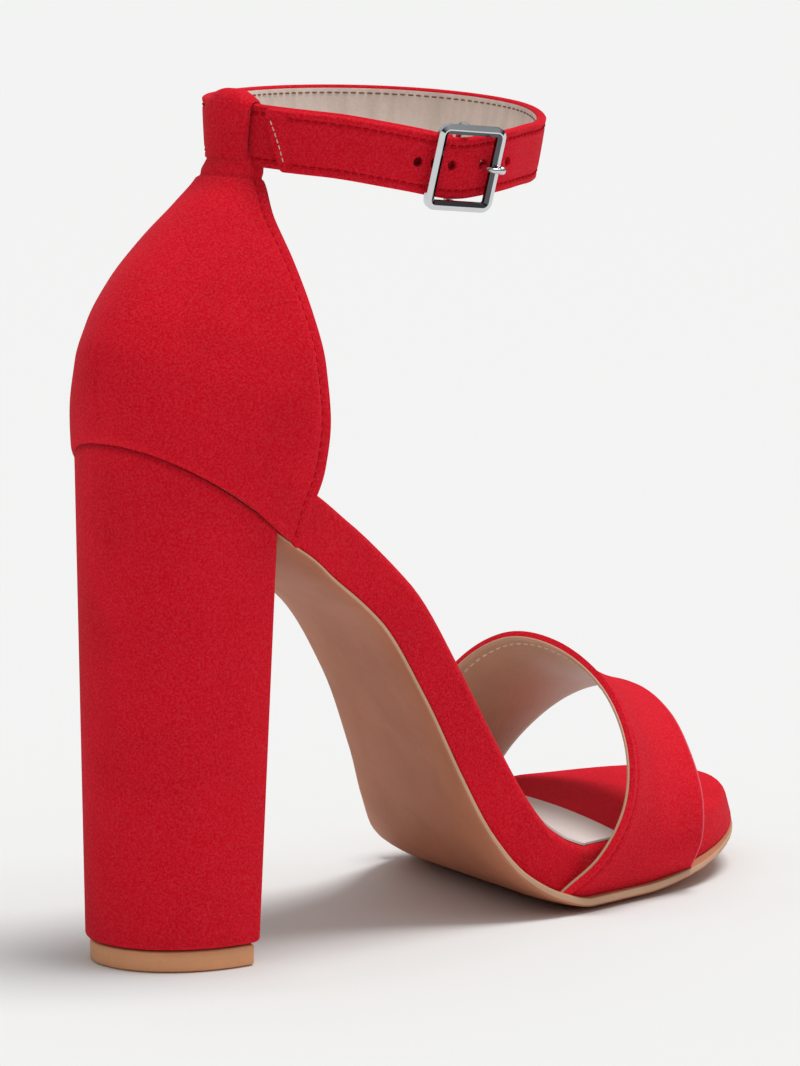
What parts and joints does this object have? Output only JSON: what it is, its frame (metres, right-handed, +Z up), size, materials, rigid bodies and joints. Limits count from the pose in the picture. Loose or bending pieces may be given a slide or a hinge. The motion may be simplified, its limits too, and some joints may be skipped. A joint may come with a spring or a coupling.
{
  "type": "ankle strap heel",
  "caption": "Right-foot block-heel sandal with a hollow closed counter, a buckled ankle strap and a wide strap over the open toe, suede with a thin tan sole",
  "frame": {"origin": "centre of the bounding box on the floor the shoe stands on", "axes": "+X from heel to toe along the heel's centre line, +Y to the inner (medial) side, +Z up"},
  "size_m": [0.1858, 0.0836, 0.1697],
  "materials": {
    "red_suede": "soft napped suede",
    "pale_sock": "smooth",
    "tan_sole": "satin",
    "chrome": "polished"
  },
  "bodies": {
    "root": {"outsole": "tan_sole", "heel_lift": "tan_sole", "footbed": "red_suede", "insole_sock": "pale_sock", "heel_block": "red_suede", "heel_counter": "red_suede", "strap_loop": "red_suede", "vamp_strap": "red_suede", "ankle_strap": "red_suede", "buckle_frame": "chrome", "buckle_bar": "chrome", "buckle_prong": "chrome"}
  },
  "joints": []
}
